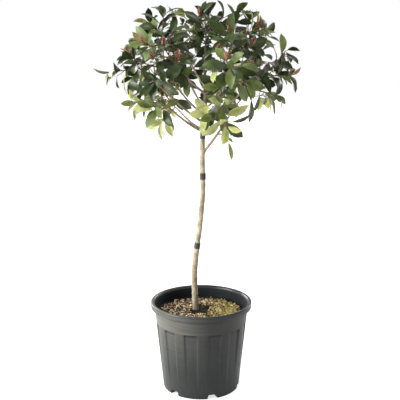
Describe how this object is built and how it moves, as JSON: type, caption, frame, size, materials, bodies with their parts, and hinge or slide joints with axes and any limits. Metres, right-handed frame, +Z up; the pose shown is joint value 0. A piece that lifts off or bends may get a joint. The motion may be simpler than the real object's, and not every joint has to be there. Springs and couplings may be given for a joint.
{
  "type": "potted half-standard evergreen shrub",
  "caption": "Evergreen shrub trained as a small standard tree: one bare stem, a rounded leafy crown and a ribbed black nursery pot filled with mulched compost.",
  "frame": {"origin": "centre of the pot's flat underside, on the ground", "axes": "+Z up along the plant's height, -Y towards the viewer of the picture, +X to that viewer's right"},
  "size_m": [0.5857, 0.5588, 1.1237],
  "materials": {
    "moulded_pot": "satin black moulded plastic, dusty",
    "compost": "moist dark compost",
    "wood_mulch": "dry chipped bark and wood",
    "bark": "smooth grey-beige bark",
    "tape": "soft black tying tape",
    "leaf": "glossy dark green leaves"
  },
  "bodies": {
    "root": {"bough_low_1": "bark", "bough_low_2": "bark", "bough_low_3": "bark", "bough_low_4": "bark", "bough_low_5": "bark", "bough_middle_1": "bark", "bough_middle_2": "bark", "bough_middle_3": "bark", "bough_middle_4": "bark", "bough_middle_5": "bark", "bough_middle_6": "bark", "bough_upper_1": "bark", "bough_upper_2": "bark", "bough_upper_3": "bark", "bough_upper_4": "bark", "compost": "compost", "foliage_low_1": "leaf", "foliage_low_2": "leaf", "foliage_low_3": "leaf", "foliage_low_4": "leaf", "foliage_low_5": "leaf", "foliage_middle_1": "leaf", "foliage_middle_2": "leaf", "foliage_middle_3": "leaf", "foliage_middle_4": "leaf", "foliage_middle_5": "leaf", "foliage_middle_6": "leaf", "foliage_top": "leaf", "foliage_upper_1": "leaf", "foliage_upper_2": "leaf", "foliage_upper_3": "leaf", "foliage_upper_4": "leaf", "mulch": "wood_mulch", "pot": "moulded_pot", "stem": "bark", "tape_low": "tape", "tape_middle": "tape", "tape_top": "tape"}
  },
  "joints": []
}
